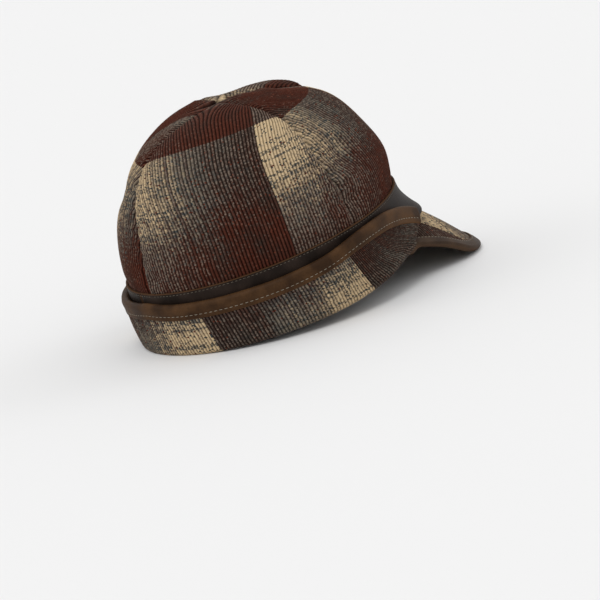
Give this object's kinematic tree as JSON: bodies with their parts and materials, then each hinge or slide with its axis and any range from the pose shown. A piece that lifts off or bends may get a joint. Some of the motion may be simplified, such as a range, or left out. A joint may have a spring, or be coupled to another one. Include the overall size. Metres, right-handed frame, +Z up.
{
  "type": "peaked winter cap with folded ear band",
  "caption": "Soft peaked winter cap: a gored cloth crown, leather band, ear band folded up round the back and sides, and a short leather-bound peak.",
  "frame": {"origin": "on the floor, at the middle of the cap's bounding box seen from above", "axes": "+Z up, -Y towards the peak at the front, -X towards the wearer's right"},
  "size_m": [0.1956, 0.2828, 0.1574],
  "materials": {
    "plaid_corduroy": "mid-wale corduroy in a shadow plaid of maroon, charcoal, grey and beige",
    "band_leather": "dark grey-brown oiled leather with a raw upper edge",
    "trim_leather": "brown oiled leather with pale stitching"
  },
  "bodies": {
    "root": {"crown_gore_front_right": "plaid_corduroy", "crown_gore_back_right": "plaid_corduroy", "crown_gore_back_left": "plaid_corduroy", "crown_gore_front_left": "plaid_corduroy", "crown_band": "band_leather", "ear_band": "plaid_corduroy", "ear_band_trim": "trim_leather", "peak": "plaid_corduroy", "peak_binding": "trim_leather"}
  },
  "joints": []
}
